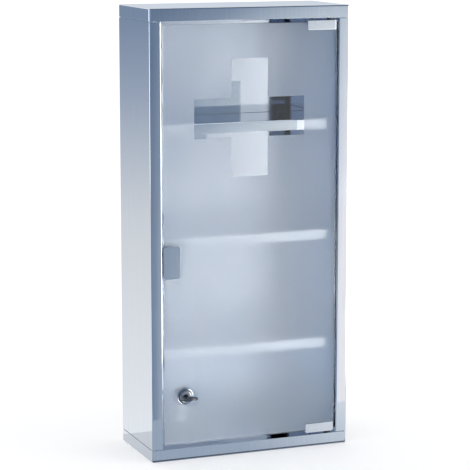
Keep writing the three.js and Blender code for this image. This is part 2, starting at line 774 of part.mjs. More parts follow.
// The key lies flat: a notched blade in the plug, a neck and an oval bow with a hole
function keyGeometry() {
  const thick = [-KEY_THICK / 2, KEY_THICK / 2];
  const neckRear = plugFront - FIT;
  const neckFront = neckRear - KEY_NECK_LENGTH;
  const bowMiddle = neckFront - KEY_BOW_LENGTH / 2 + KEY_HOLE_MARGIN;
  const bow = new THREE.Shape();
  bow.absellipse(0, bowMiddle, KEY_BOW_WIDTH / 2, KEY_BOW_LENGTH / 2, 0, 2 * Math.PI);
  const holeY = bowMiddle - KEY_BOW_LENGTH / 2 + KEY_HOLE_MARGIN + KEY_HOLE / 2;
  bow.holes.push(circle(0, holeY, KEY_HOLE / 2));
  const neck = block([-KEY_NECK / 2, KEY_NECK / 2], [neckFront, neckRear], thick);
  const blade = block([-KEY_BLADE / 2, KEY_BLADE / 2], [neckFront, keyTip], thick);
  const edge = KEY_BLADE / 2;
  const pitch = (keyTip - neckRear) / (KEY_NOTCHES + 1);
  const notches = Array.from({ length: KEY_NOTCHES }, (unused, i) => {
    const y = neckRear + (i + 1) * pitch;
    return block(
      [edge - KEY_NOTCH, edge + KEY_NOTCH],
      [y - KEY_NOTCH / 2, y + KEY_NOTCH / 2],
      [-KEY_THICK, KEY_THICK],
    );
  });
  return combine(alongZ(bow, thick, SMALL_ROUND), [neck, blade], notches);
}

function addLock(group) {
  const lock = new THREE.Group();
  lock.position.set(lockX, glassFrontY, lockZ);
  group.add(lock);
  addPiece(lock, 'lock_housing', lockHousingGeometry(), chrome);
  addPiece(lock, 'lock_gasket', lockGasketGeometry(), rubber);
  addPiece(lock, 'lock_nut', lockNutGeometry(), zinc);
  addPiece(lock, 'lock_plug', lockPlugGeometry(), chrome);
  addPiece(lock, 'lock_cam', lockCamGeometry(), zinc);
  addPiece(lock, 'cam_screw', camScrewGeometry(), zinc);
  addPiece(lock, 'key', keyGeometry(), nickel);
}

const cabinet = new THREE.Group();
addCaps(cabinet);
addPiece(cabinet, 'left_side_panel', sidePanelGeometry(-1), steel);
addPiece(cabinet, 'right_side_panel', sidePanelGeometry(1), steel);
addPiece(cabinet, 'back_panel', backPanelGeometry(), steel);
addRivets(cabinet);
addShelves(cabinet);
addPiece(cabinet, 'door_glass', glassGeometry(), frosted);
addHinge(cabinet, 'top', 1);
addHinge(cabinet, 'bottom', -1);
addPull(cabinet);
addCatch(cabinet);
addLock(cabinet);

export default cabinet;
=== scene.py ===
import math

import bmesh
import bpy
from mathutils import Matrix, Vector
from mathutils.geometry import tessellate_polygon


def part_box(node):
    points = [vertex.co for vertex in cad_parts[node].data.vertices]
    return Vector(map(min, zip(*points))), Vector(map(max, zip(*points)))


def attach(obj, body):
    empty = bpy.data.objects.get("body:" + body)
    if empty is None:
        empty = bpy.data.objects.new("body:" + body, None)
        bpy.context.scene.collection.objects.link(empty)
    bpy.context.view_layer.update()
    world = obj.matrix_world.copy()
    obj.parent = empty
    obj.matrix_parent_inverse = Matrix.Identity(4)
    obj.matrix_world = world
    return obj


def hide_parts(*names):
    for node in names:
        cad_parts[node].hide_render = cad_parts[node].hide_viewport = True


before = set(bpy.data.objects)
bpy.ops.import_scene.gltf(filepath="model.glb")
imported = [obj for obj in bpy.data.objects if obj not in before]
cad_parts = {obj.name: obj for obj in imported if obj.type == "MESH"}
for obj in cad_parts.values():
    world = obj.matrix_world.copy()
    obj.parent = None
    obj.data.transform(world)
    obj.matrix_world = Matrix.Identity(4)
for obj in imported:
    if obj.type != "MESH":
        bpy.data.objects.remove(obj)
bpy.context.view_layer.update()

MM = 0.001
WHITE = (1.0, 1.0, 1.0)
EVEN = (1, 1, 1)

# The front and the left side of the cabinet's body
BODY_FRONT = -62.5 * MM
BODY_LEFT = -141 * MM

# The door glass: its clear cross, the arris along its edges, and the lock's hole
CROSS_SPAN = 156 * MM
CROSS_BAR = 52 * MM
CROSS_DROP = 123.5 * MM
CROSS_INSET = 122.5 * MM
FROST_DEPTH = 0.2 * MM
GLASS_CORNER = 2 * MM
GLASS_ARRIS = 0.5 * MM
GLASS_HOLE = 18.6 * MM
LOCK_INSET = 28.2 * MM
LOCK_RISE = 65.5 * MM

# Places along x between which painted shade darkens the haze of the frosting and the ground edges
# towards the right
HAZE_PALE = 40 * MM
HAZE_SHADED = 120 * MM
EDGE_PALE = 14 * MM
EDGE_DARK = 26 * MM

# The lock: radii, and distances inward from the front of the glass
HOUSING_BORE = 6.3 * MM
HOUSING_COLLAR = 8 * MM
HOUSING_GROOVE = 9.4 * MM
HOUSING_CREST = 10.7 * MM
HOUSING_RIM = 12 * MM
HOUSING_BARREL = 9 * MM
COLLAR_FRONT = -6 * MM
CREST_FRONT = -3.6 * MM
GROOVE_FLOOR = -1.9 * MM
RIM_SIDE = -2 * MM
RIM_BACK = -1.4 * MM
BARREL_REAR = 11.2 * MM
THREAD_PITCH = 1 * MM
THREAD_DEPTH = 0.45 * MM
DOME_START_DEGREES = 210

# Distances from the lock's axis between which painted shade darkens the plug's face round the keyway
KEYWAY_DARK = 2.5 * MM
KEYWAY_PALE = 5 * MM
FROM_AXIS = (1, 0, 1)

# The key: across its width, and along its length inward from the front of the glass
KEY_HALF_THICK = 1 * MM
KEY_BLADE_HALF = 4 * MM
KEY_NECK_HALF = 4.5 * MM
KEY_NECK_REAR = -5.9 * MM
KEY_TIP = 3.4 * MM
KEY_TIP_CUT = 1.5 * MM
KEY_NOTCH_DEPTH = 1.2 * MM
KEY_NOTCH_HALF = 0.8 * MM
KEY_NOTCHES = 3
KEY_BOW_RADII = (12 * MM, 9.5 * MM)
KEY_BOW_MIDDLE = -17.9 * MM
KEY_BOW_RIM = 1.6 * MM
KEY_BOW_SINK = 0.35 * MM
KEY_HOLE = 5 * MM
KEY_HOLE_MIDDLE = -22.4 * MM
KEY_GROOVE_ACROSS = (-1.6 * MM, 0.2 * MM)
KEY_GROOVE_ALONG = (-4.6 * MM, 2.4 * MM)
KEY_GROOVE_CORNER = 0.5 * MM
KEY_GROOVE_SINK = 0.4 * MM

# Rivets that hold the back panel
RIVET_HEAD = 3.2 * MM
RIVET_SHANK = 1.6 * MM
RIVET_DOME = 1.4 * MM
RIVET_TIP = 0.2 * MM

# Facets of round forms
ROUND_STEPS = 64
ARC_STEPS = 8
CORNER_STEPS = 6

# Rounding of the edges of sheet and of fittings
WELD = 0.001 * MM
FLAT_ANGLE = math.radians(0.5)
HARD_ANGLE = math.radians(40)
SHEET_EDGE = 0.15 * MM
FITTING_EDGE = 0.5 * MM
SMALL_EDGE = 0.12 * MM
KEY_EDGE = 0.25 * MM
FINE_FITTINGS = ("lock_plug", "door_pull")
EDGE_STEPS = 2
FLAT_WEIGHT = 50

# Camera
CAMERA_PLACE = (-0.9671, -2.4598, 0.7340)
CAMERA_YAW = math.radians(21.49)
CAMERA_PITCH = math.radians(9.56)
CAMERA_LENS = 151.28
CAMERA_SENSOR = 36

# Studio: a pale table top that ends in front of the cabinet
TABLE_FRONT = -0.27
TABLE_REAR = 16
TABLE_HALF = 12
FLOOR_TONE = 0.8
FLOOR_GLOW = 0.28

# Studio: a dark room in front, with one softbox that fades through colours at distances
ROOM_Y = -4.0
ROOM_HALF = 7
ROOM_BOTTOM = -5
ROOM_TOP = 2.6
SOFTBOX_PLACE = (2.3, 0, -0.9)
SOFTBOX_STRETCH = (1, 0, 0.55)
ROOM_STOPS = [
    (0.45, (1.1, 1.06, 1.06)),
    (0.66, (0.83, 0.86, 0.9)),
    (0.875, (0.58, 0.645, 0.72)),
    (1.09, (0.29, 0.36, 0.465)),
    (1.3, (0.175, 0.24, 0.34)),
    (1.9, (0.28, 0.40, 0.64)),
]

# Studio, mirrored only: the table's front as painted shade, darker at the left, which like the next
# sheets fades through colours at places
STRIP_LEFT = -0.6
STRIP_RIGHT = 0.9
STRIP_LIFT = 0.2 * MM
STRIP_STOPS = [
    (-0.12, (0.42, 0.49, 0.59)),
    (0.0, (0.44, 0.51, 0.61)),
    (0.1, (0.62, 0.68, 0.75)),
    (0.22, (0.85, 0.89, 0.93)),
]

# Studio, mirrored only: two shaded walls behind
WALL_HALF = 0.8
WALL_PLACE = (-0.75, 1.45)
WALL_TURN = math.radians(21.4)
WALL_HEIGHT = 1.0
WALL_STOPS = [
    (0.0, (0.84, 0.85, 0.86)),
    (0.07, (0.79, 0.805, 0.825)),
    (0.19, (0.62, 0.66, 0.72)),
    (0.34, (0.4, 0.46, 0.57)),
    (0.5, (0.25, 0.32, 0.44)),
]
REAR_PLACE = (1.1, 2.8)
REAR_TURN = math.radians(-21.4)
REAR_HEIGHT = 1.6
REAR_STOPS = [(0.03, (0.9, 0.9, 0.9)), (0.5, (0.66, 0.72, 0.8))]

# Studio, mirrored only: a dark ceiling, and a dark and a bright side at the left
DARK_STOPS = [(-4.0, (0.07, 0.09, 0.13)), (1.5, (0.12, 0.15, 0.2))]
CEILING_HALF = 5
CEILING_REAR = 1.5
SIDE_X = -2.6
SIDE_REAR = 0.38
BRIGHT_X = -2.4
BRIGHT_FRONT = 0.5
BRIGHT_REAR = 2.2
BRIGHT_GLOW = (4.0, 4.05, 4.1)
BRIGHT_STOPS = [(BRIGHT_FRONT, BRIGHT_GLOW), (BRIGHT_REAR, BRIGHT_GLOW)]

# Studio, mirrored only: painted shadow on the table at the cabinet's foot, and the floor at the left,
# painted darker towards the back
SHADE_FRONT = -71 * MM
SHADE_LIFT = 0.4 * MM
SHADE_STOPS = [(-0.15, (0.1, 0.12, 0.16)), (0.15, (0.16, 0.18, 0.22))]
SIDE_SHADE_LEFT = -0.3
SIDE_SHADE_REAR = 0.09
SIDE_SHADE_STOPS = [(-0.06, (0.68, 0.71, 0.75)), (0.09, (0.78, 0.79, 0.81))]
LEFT_FLOOR_LEFT = -1.6
LEFT_FLOOR_REAR = 1.6
LEFT_FLOOR_STOPS = [
    (0.09, (1.02, 1.03, 1.04)),
    (0.4, (0.965, 0.975, 0.985)),
    (1.45, (0.84, 0.85, 0.86)),
]

# Studio, mirrored only: a white card low in front
CARD_Z = -0.5
CARD_FRONT = -1.6
CARD_REAR = -0.4
CARD_LEFT = 0.55
CARD_RIGHT = 2.2
CARD_GLOW = (4.2, 4.25, 4.3)
CARD_STOPS = [(CARD_FRONT, CARD_GLOW), (CARD_REAR, CARD_GLOW)]

# Studio, shown by glass only: cards overhead, close by at the left and on the table
OVERHEAD_GLOW = (1.75, 1.86, 2.06)
OVERHEAD_Z = 2.5
OVERHEAD_HALF = 1.5
OVERHEAD_FRONT = -3
OVERHEAD_REAR = -0.5
NEAR_GLOW = (10.9, 10.4, 10.1)
NEAR_X = -0.35
NEAR_FRONT = -0.5
NEAR_REAR = -0.1
NEAR_TOP = 0.27
FOOT_GLOW = (0.6, 0.93, 1.3)
FOOT_LEFT = -0.06
FOOT_RIGHT = 0.5
FOOT_LIFT = 0.6 * MM

# Studio: the lamp
LAMP_PLACE = (2.65, -2.56, 0.15)
LAMP_AIM = (0, 0, 0.3)
LAMP_WIDTH = 2.2
LAMP_HEIGHT = 1.8
LAMP_POWER = 66
LAMP_COLOUR = (1.0, 0.98, 0.96)

# Wear and painted sheen along edges, grain, haze and unevenness of the materials
NOISE_LOW = 0.3
NOISE_HIGH = 0.7
SMUDGE_SIZE = 22
WAVE_SIZE = 9
WAVE_DEPTH = 1 * MM
WEAR_SHEEN_RADIUS = 0.7 * MM
WEAR_SHEEN_SIZE = 160
WEAR_SHEEN_FLAT = 0.985
WEAR_SHEEN_SHARP = 0.8
WEAR_ROUGH = 0.07
SCRATCH_BUMP = 0.015
SCRATCH_DEPTH = 0.1 * MM
GRAIN_BUMP = 0.2
GRAIN_DEPTH = 0.1 * MM
HAZE_ROUGHNESS = 0.8


def add_node(tree, kind, **values):
    """A node of a kind, with its properties and inputs set by name."""
    node = tree.nodes.new(kind)
    for name, value in values.items():
        if name in node.inputs:
            node.inputs[name].default_value = value
        else:
            setattr(node, name, value)
    return node


def new_material(name, **values):
    """A material of one principled shader, with its sockets set by name."""
    material = bpy.data.materials.new(name)
    material.use_nodes = True
    shader = material.node_tree.nodes["Principled BSDF"]
    for socket, value in values.items():
        shader.inputs[socket.replace("_", " ")].default_value = value
    return material, material.node_tree, shader


def stretched(tree, scale):
    """Object coordinates, scaled differently along each axis."""
    place = add_node(tree, "ShaderNodeTexCoord")
    mapping = add_node(tree, "ShaderNodeMapping", Scale=scale)
    tree.links.new(place.outputs["Object"], mapping.inputs["Vector"])
    return mapping.outputs["Vector"]


def noise(tree, scale, detail, size=EVEN):
    """A noise value in object space."""
    texture = add_node(tree, "ShaderNodeTexNoise", Scale=scale, Detail=detail)
    tree.links.new(stretched(tree, size), texture.inputs["Vector"])
    return texture.outputs["Fac"]


def ranged(tree, value, low, high, start=NOISE_LOW, end=NOISE_HIGH):
    """A value spread from a low to a high limit. The usual start and end suit a noise value."""
    spread = add_node(tree, "ShaderNodeMapRange")
    spread.inputs["From Min"].default_value = start
    spread.inputs["From Max"].default_value = end
    spread.inputs["To Min"].default_value = low
    spread.inputs["To Max"].default_value = high
    tree.links.new(value, spread.inputs["Value"])
    return spread.outputs["Result"]


def blended(tree, value, low, high):
    """A colour between two, by a value from 0 to 1. The first may be another node's output."""
    mix = add_node(tree, "ShaderNodeMix", data_type="RGBA")
    first, second = [socket for socket in mix.inputs if socket.type == "RGBA"]
    if isinstance(low, tuple):
        first.default_value = (*low, 1)
    else:
        tree.links.new(low, first)
    second.default_value = (*high, 1)
    tree.links.new(value, mix.inputs["Factor"])
    return next(socket for socket in mix.outputs if socket.type == "RGBA")


def product_sum(tree, value, factor, addend):
    """A value times a factor, added to another value."""
    sum_node = add_node(tree, "ShaderNodeMath", operation="MULTIPLY_ADD")
    sum_node.inputs[1].default_value = factor
    tree.links.new(value, sum_node.inputs[0])
    tree.links.new(addend, sum_node.inputs[2])
    return sum_node.outputs["Value"]


def bumped(tree, value, strength, distance, under=None):
    """A surface normal raised by a value, over another one if given."""
    bump = add_node(tree, "ShaderNodeBump", Strength=strength, Distance=distance)
    tree.links.new(value, bump.inputs["Height"])
    if under is not None:
        tree.links.new(under, bump.inputs["Normal"])
    return bump.outputs["Normal"]


def edge_wear_and_sheen(tree):
    """A value that is 0 on flat faces and rises to 1 in patches along the edges."""
    rounded = add_node(tree, "ShaderNodeBevel", Radius=WEAR_SHEEN_RADIUS)
    plain = add_node(tree, "ShaderNodeNewGeometry")
    facing = add_node(tree, "ShaderNodeVectorMath", operation="DOT_PRODUCT")
    tree.links.new(rounded.outputs["Normal"], facing.inputs[0])
    tree.links.new(plain.outputs["Normal"], facing.inputs[1])
    edge = ranged(tree, facing.outputs["Value"], 0, 1, WEAR_SHEEN_FLAT, WEAR_SHEEN_SHARP)
    patchy = add_node(tree, "ShaderNodeMath", operation="MULTIPLY")
    tree.links.new(edge, patchy.inputs[0])
    tree.links.new(ranged(tree, noise(tree, WEAR_SHEEN_SIZE, detail=3), 0, 1), patchy.inputs[1])
    return patchy.outputs["Value"]


def metal(name, dull, bright, worn_and_sheen, roughness, lines, wave):
    """A metal: smudged, finely scratched, a little uneven, and paler along its edges, as wear and
    painted sheen.
    """
    material, tree, shader = new_material(name, Metallic=1.0)
    scratch = ranged(tree, noise(tree, scale=1, detail=2, size=lines), 0, 1)
    wear_and_sheen = edge_wear_and_sheen(tree)
    tone = blended(tree, wear_and_sheen, blended(tree, scratch, dull, bright), worn_and_sheen)
    polish = ranged(tree, noise(tree, SMUDGE_SIZE, detail=4), *roughness)
    uneven = bumped(tree, noise(tree, WAVE_SIZE, detail=2), wave, WAVE_DEPTH)
    scratched = bumped(tree, scratch, SCRATCH_BUMP, SCRATCH_DEPTH, uneven)
    tree.links.new(tone, shader.inputs["Base Color"])
    tree.links.new(product_sum(tree, wear_and_sheen, WEAR_ROUGH, polish), shader.inputs["Roughness"])
    tree.links.new(scratched, shader.inputs["Normal"])
    return material


def moulded(name, dark, pale, roughness, grain_size):
    """A moulded plastic, rubber or pressed powder with a fine grain."""
    material, tree, shader = new_material(name)
    grain = noise(tree, grain_size, detail=5)
    tone = blended(tree, ranged(tree, grain, 0, 1), dark, pale)
    tree.links.new(tone, shader.inputs["Base Color"])
    tree.links.new(ranged(tree, grain, *roughness), shader.inputs["Roughness"])
    tree.links.new(bumped(tree, grain, GRAIN_BUMP, GRAIN_DEPTH), shader.inputs["Normal"])
    return material


def glass(name, dull, clear, roughness, grain_size, size=EVEN, patches=(0.4, 0.6)):
    """Clear, etched or ground glass, with an unevenness in its polish or etching."""
    material, tree, shader = new_material(name, Transmission_Weight=1.0, IOR=1.5)
    grain = noise(tree, grain_size, detail=3, size=size)
    tone = blended(tree, ranged(tree, grain, 0, 1, *patches), dull, clear)
    tree.links.new(tone, shader.inputs["Base Color"])
    tree.links.new(ranged(tree, grain, *roughness), shader.inputs["Roughness"])
    return material


def hazed(material, dull, pale, shaded, share):
    """Adds the pale, cloudy haze of an etched face, with painted shade that darkens it towards the
    right.
    """
    tree = material.node_tree
    haze = add_node(tree, "ShaderNodeBsdfPrincipled", Roughness=HAZE_ROUGHNESS)
    haze.inputs["Specular IOR Level"].default_value = 0.0
    cloud = ranged(tree, noise(tree, SMUDGE_SIZE, detail=3), 0, 1)
    # Painted shade: the haze darkens towards the right
    shade = ranged(tree, along(tree, "X"), 0, 1, HAZE_PALE, HAZE_SHADED)
    tone = blended(tree, shade, blended(tree, cloud, dull, pale), shaded)
    tree.links.new(tone, haze.inputs["Base Color"])
    mix = add_node(tree, "ShaderNodeMixShader", Fac=share)
    surface = tree.nodes["Material Output"].inputs["Surface"]
    tree.links.new(surface.links[0].from_socket, mix.inputs[1])
    tree.links.new(haze.outputs["BSDF"], mix.inputs[2])
    tree.links.new(mix.outputs["Shader"], surface)


def paint_shade(material, dark, place, start, end):
    """Paints shade into a material's colour, darkening it as a value goes from a start to an end."""
    tree = material.node_tree
    base = tree.nodes["Principled BSDF"].inputs["Base Color"]
    share = ranged(tree, place, 0, 1, start, end)
    tree.links.new(blended(tree, share, base.links[0].from_socket, dark), base)


def finish(material, name):
    """Puts a material on a CAD node."""
    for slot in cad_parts[name].material_slots:
        slot.link = "OBJECT"
        slot.material = material


def smoothing_group():
    """A node group that shades all faces smoothly, except across hard edges."""
    group = bpy.data.node_groups.new("smooth_bends", "GeometryNodeTree")
    group.interface.new_socket("Geometry", in_out="INPUT", socket_type="NodeSocketGeometry")
    group.interface.new_socket("Geometry", in_out="OUTPUT", socket_type="NodeSocketGeometry")
    entry = add_node(group, "NodeGroupInput")
    plain = add_node(group, "GeometryNodeRemoveAttribute", Name="custom_normal")
    soft_faces = add_node(group, "GeometryNodeSetShadeSmooth", domain="FACE")
    soft_edges = add_node(group, "GeometryNodeSetShadeSmooth", domain="EDGE")
    hard_edges = add_node(group, "GeometryNodeSetShadeSmooth", domain="EDGE")
    hard_edges.inputs["Shade Smooth"].default_value = False
    angle = add_node(group, "GeometryNodeInputMeshEdgeAngle")
    hard = add_node(group, "FunctionNodeCompare", data_type="FLOAT", operation="GREATER_THAN")
    hard.inputs["B"].default_value = HARD_ANGLE
    leave = add_node(group, "NodeGroupOutput")
    group.links.new(angle.outputs["Unsigned Angle"], hard.inputs["A"])
    group.links.new(hard.outputs["Result"], hard_edges.inputs["Selection"])
    steps = [entry, plain, soft_faces, soft_edges, hard_edges, leave]
    for before, after in zip(steps, steps[1:]):
        group.links.new(before.outputs[0], after.inputs[0])
    return group


def soften(piece, edge):
    """Joins a solid's facets, rounds its hard edges and shades its bends smoothly."""
    weld = piece.modifiers.new("weld", "WELD")
    weld.merge_threshold = WELD
    flat = piece.modifiers.new("flat", "DECIMATE")
    flat.decimate_type = "DISSOLVE"
    flat.angle_limit = FLAT_ANGLE
    round_edges = piece.modifiers.new("edges", "BEVEL")
    round_edges.width = edge
    round_edges.segments = EDGE_STEPS
    round_edges.limit_method = "ANGLE"
    round_edges.angle_limit = HARD_ANGLE
    round_edges.use_clamp_overlap = False
    smooth = piece.modifiers.new("smooth", "NODES")
    smooth.node_group = smooth_bends
    even = piece.modifiers.new("even", "WEIGHTED_NORMAL")
    even.mode = "FACE_AREA"
    even.weight = FLAT_WEIGHT
    even.keep_sharp = True


def new_piece(name, mesh, materials, body, node):
    """A piece of the object that rides on a body and stands for a CAD node."""
    data = bpy.data.meshes.new(name)
    bmesh.ops.recalc_face_normals(mesh, faces=mesh.faces)
    mesh.to_mesh(data)
    mesh.free()
    for material in materials:
        data.materials.append(material)
    piece = bpy.data.objects.new(name, data)
    bpy.context.scene.collection.objects.link(piece)
    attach(piece, body)
    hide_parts(node)
    return piece


def arc(middle, radii, start, end, steps):
    """Points along an arc of an ellipse, between two angles in degrees."""
    points = []
    for step in range(steps + 1):
        angle = math.radians(start + (end - start) * step / steps)
        points.append((middle[0] + radii[0] * math.cos(angle), middle[1] + radii[1] * math.sin(angle)))
    return points


def rounded_rectangle(left, right, bottom, top, radius):
    """Points round a rectangle with rounded corners, anticlockwise."""
    radii = (radius, radius)
    return [
        *arc((right - radius, top - radius), radii, 0, 90, CORNER_STEPS),
        *arc((left + radius, top - radius), radii, 90, 180, CORNER_STEPS),
        *arc((left + radius, bottom + radius), radii, 180, 270, CORNER_STEPS),
        *arc((right - radius, bottom + radius), radii, 270, 360, CORNER_STEPS),
    ]


def ellipse(middle, radii):
    """Points round a whole ellipse, anticlockwise."""
    return arc(middle, radii, 0, 360, ROUND_STEPS)[:-1]


def cross_points(x, z):
    """The twelve corners of the clear cross."""
    arm = CROSS_SPAN / 2
    bar = CROSS_BAR / 2
    corners = [
        (bar, bar), (bar, arm), (-bar, arm), (-bar, bar), (-arm, bar), (-arm, -bar),
        (-bar, -bar), (-bar, -arm), (bar, -arm), (bar, -bar), (arm, -bar), (arm, bar),
    ]
    return [(x + across, z + up) for across, up in corners]


def upright_loop(mesh, points, y):
    """Vertices along a closed line in a plane that faces the front."""
    return [mesh.verts.new((x, y, z)) for x, z in points]


def level_loop(mesh, points, z):
    """Vertices along a closed line in a level plane."""
    return [mesh.verts.new((x, y, z)) for x, y in points]


def fill(mesh, loops, slot=0):
    """Flat faces inside the first loop and outside the others."""
    flat = [vertex for loop in loops for vertex in loop]
    outlines = [[vertex.co for vertex in loop] for loop in loops]
    for corners in tessellate_polygon(outlines):
        face = mesh.faces.new([flat[index] for index in corners])
        face.material_index = slot


def skirt(mesh, first, second, slot=0):
    """Faces between two loops of the same length."""
    count = len(first)
    for index in range(count):
        after = (index + 1) % count
        face = mesh.faces.new([first[index], first[after], second[after], second[index]])
        face.material_index = slot


def turn(mesh, profile, x, z):
    """Surfaces turned about a line along Y, from the radius and the y of each ring."""
    rings = [upright_loop(mesh, ellipse((x, z), (radius, radius)), y) for radius, y in profile]
    for first, second in zip(rings, rings[1:]):
        skirt(mesh, first, second)
    return rings


def middle_of(node):
    """The middle of a CAD node's box."""
    low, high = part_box(node)
    return (low + high) / 2


def paint_level(mesh, y, slot):
    """Gives the faces that lie wholly at one depth another material."""
    for face in mesh.faces:
        if all(abs(vertex.co.y - y) < WELD for vertex in face.verts):
            face.material_index = slot


def add_door_pane(clear, frosted, ground):
    """The door's glass, frosted behind except for the clear cross, with ground edges."""
    clear_slot, frosted_slot, ground_slot = range(3)
    low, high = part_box("door_glass")
    front, back = low.y, high.y
    frost = back - FROST_DEPTH
    inner = (low.x + GLASS_ARRIS, high.x - GLASS_ARRIS, low.z + GLASS_ARRIS, high.z - GLASS_ARRIS)
    face_line = rounded_rectangle(*inner, GLASS_CORNER - GLASS_ARRIS)
    edge_line = rounded_rectangle(low.x, high.x, low.z, high.z, GLASS_CORNER)
    hole_line = ellipse((low.x + LOCK_INSET, low.z + LOCK_RISE), (GLASS_HOLE / 2, GLASS_HOLE / 2))
    cross_line = cross_points(low.x + CROSS_INSET, high.z - CROSS_DROP)
    mesh = bmesh.new()
    front_face = upright_loop(mesh, face_line, front)
    front_edge = upright_loop(mesh, edge_line, front + GLASS_ARRIS)
    back_edge = upright_loop(mesh, edge_line, frost - GLASS_ARRIS)
    back_face = upright_loop(mesh, face_line, frost)
    front_hole = upright_loop(mesh, hole_line, front)
    back_hole = upright_loop(mesh, hole_line, frost)
    cross_foot = upright_loop(mesh, cross_line, frost)
    cross_face = upright_loop(mesh, cross_line, back)
    fill(mesh, [front_face, front_hole], clear_slot)
    skirt(mesh, front_face, front_edge, ground_slot)
    skirt(mesh, front_edge, back_edge, ground_slot)
    skirt(mesh, back_edge, back_face, ground_slot)
    skirt(mesh, front_hole, back_hole, ground_slot)
    fill(mesh, [back_face, back_hole, cross_foot], frosted_slot)
    skirt(mesh, cross_foot, cross_face, clear_slot)
    fill(mesh, [cross_face], clear_slot)
    new_piece("door_pane", mesh, [clear, frosted, ground], "door", "door_glass")


def thread_profile():
    """The barrel's thread from front to rear: a crest and a root in each pitch."""
    profile = [(HOUSING_BARREL, RIM_BACK)]
    turns = int((BARREL_REAR - RIM_BACK) / THREAD_PITCH)
    for index in range(turns):
        start = RIM_BACK + index * THREAD_PITCH
        profile.append((HOUSING_BARREL - THREAD_DEPTH, start + THREAD_PITCH / 2))
        profile.append((HOUSING_BARREL, start + THREAD_PITCH))
    return profile


def add_lock_housing(material, dark):
    """The lock's housing: a half-round collar, a groove whose floor is painted dark as shade, a domed
    rim and a threaded barrel.
    """
    low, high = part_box("lock_housing")
    collar_round = (HOUSING_COLLAR - HOUSING_BORE) / 2
    collar_middle = (HOUSING_BORE + collar_round, COLLAR_FRONT + collar_round)
    dome_middle = (HOUSING_CREST, RIM_SIDE)
    dome_rise = RIM_SIDE - CREST_FRONT
    inner_dome = (HOUSING_CREST - HOUSING_GROOVE, dome_rise)
    outer_dome = (HOUSING_RIM - HOUSING_CREST, dome_rise)
    profile = [
        (HOUSING_BORE, BARREL_REAR),
        *arc(collar_middle, (collar_round, collar_round), -180, 0, ARC_STEPS),
        (HOUSING_COLLAR, GROOVE_FLOOR),
        (HOUSING_GROOVE, GROOVE_FLOOR),
        *arc(dome_middle, inner_dome, DOME_START_DEGREES, 270, ARC_STEPS),
        *arc(dome_middle, outer_dome, 270, 360, ARC_STEPS)[1:],
        (HOUSING_RIM, RIM_BACK),
        *thread_profile(),
    ]
    front = high.y - BARREL_REAR
    mesh = bmesh.new()
    places = [(radius, front + depth) for radius, depth in profile]
    rings = turn(mesh, places, (low.x + high.x) / 2, (low.z + high.z) / 2)
    skirt(mesh, rings[-1], rings[0])
    # Painted shade: the groove's floor takes the dark material
    paint_level(mesh, front + GROOVE_FLOOR, slot=1)
    piece = new_piece("lock_body", mesh, [material, dark], "door", "lock_housing")
    soften(piece, SMALL_EDGE)


def key_outline():
    """The key's outline: the bow, the neck, and a blade with a cut tip and notches."""
    shoulder = math.degrees(math.acos(KEY_NECK_HALF / KEY_BOW_RADII[0]))
    points = [
        (KEY_NECK_HALF, KEY_NECK_REAR),
        *arc((0, KEY_BOW_MIDDLE), KEY_BOW_RADII, shoulder, -180 - shoulder, ROUND_STEPS),
        (-KEY_NECK_HALF, KEY_NECK_REAR),
        (-KEY_BLADE_HALF, KEY_NECK_REAR),
        (-KEY_BLADE_HALF, KEY_TIP - KEY_TIP_CUT),
        (-KEY_BLADE_HALF + KEY_TIP_CUT, KEY_TIP),
        (KEY_BLADE_HALF - KEY_TIP_CUT, KEY_TIP),
        (KEY_BLADE_HALF, KEY_TIP - KEY_TIP_CUT),
    ]
    pitch = (KEY_TIP - KEY_NECK_REAR) / (KEY_NOTCHES + 1)
    for index in range(KEY_NOTCHES, 0, -1):
        y = KEY_NECK_REAR + index * pitch
        points.append((KEY_BLADE_HALF, y + KEY_NOTCH_HALF))
        points.append((KEY_BLADE_HALF - KEY_NOTCH_DEPTH, y))
        points.append((KEY_BLADE_HALF, y - KEY_NOTCH_HALF))
    points.append((KEY_BLADE_HALF, KEY_NECK_REAR))
    return points


def add_key(material):
    """The key, flat, with a sunk bow, a hole for a ring and a milled groove in each side."""
    low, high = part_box("key")
    x = (low.x + high.x) / 2
    z = (low.z + high.z) / 2
    front = high.y - KEY_TIP
    bow = (0, KEY_BOW_MIDDLE)
    sunk_radii = [radius - KEY_BOW_RIM for radius in KEY_BOW_RADII]
    lines = {
        "outline": key_outline(),
        "bow": ellipse(bow, sunk_radii),
        "hole": ellipse((0, KEY_HOLE_MIDDLE), (KEY_HOLE / 2, KEY_HOLE / 2)),
        "groove": rounded_rectangle(*KEY_GROOVE_ACROSS, *KEY_GROOVE_ALONG, KEY_GROOVE_CORNER),
    }
    placed = {name: [(x + a, front + b) for a, b in line] for name, line in lines.items()}
    mesh = bmesh.new()
    outlines = []
    holes = []
    for side in (1, -1):
        face_z = z + side * KEY_HALF_THICK
        bow_z = z + side * (KEY_HALF_THICK - KEY_BOW_SINK)
        groove_z = z + side * (KEY_HALF_THICK - KEY_GROOVE_SINK)
        outline = level_loop(mesh, placed["outline"], face_z)
        bow_edge = level_loop(mesh, placed["bow"], face_z)
        bow_floor = level_loop(mesh, placed["bow"], bow_z)
        hole = level_loop(mesh, placed["hole"], bow_z)
        groove_edge = level_loop(mesh, placed["groove"], face_z)
        groove_floor = level_loop(mesh, placed["groove"], groove_z)
        fill(mesh, [outline, bow_edge, groove_edge])
        skirt(mesh, bow_edge, bow_floor)
        fill(mesh, [bow_floor, hole])
        skirt(mesh, groove_edge, groove_floor)
        fill(mesh, [groove_floor])
        outlines.append(outline)
        holes.append(hole)
    skirt(mesh, *outlines)
    skirt(mesh, *holes)
    piece = new_piece("cabinet_key", mesh, [material], "key", "key")
    soften(piece, KEY_EDGE)


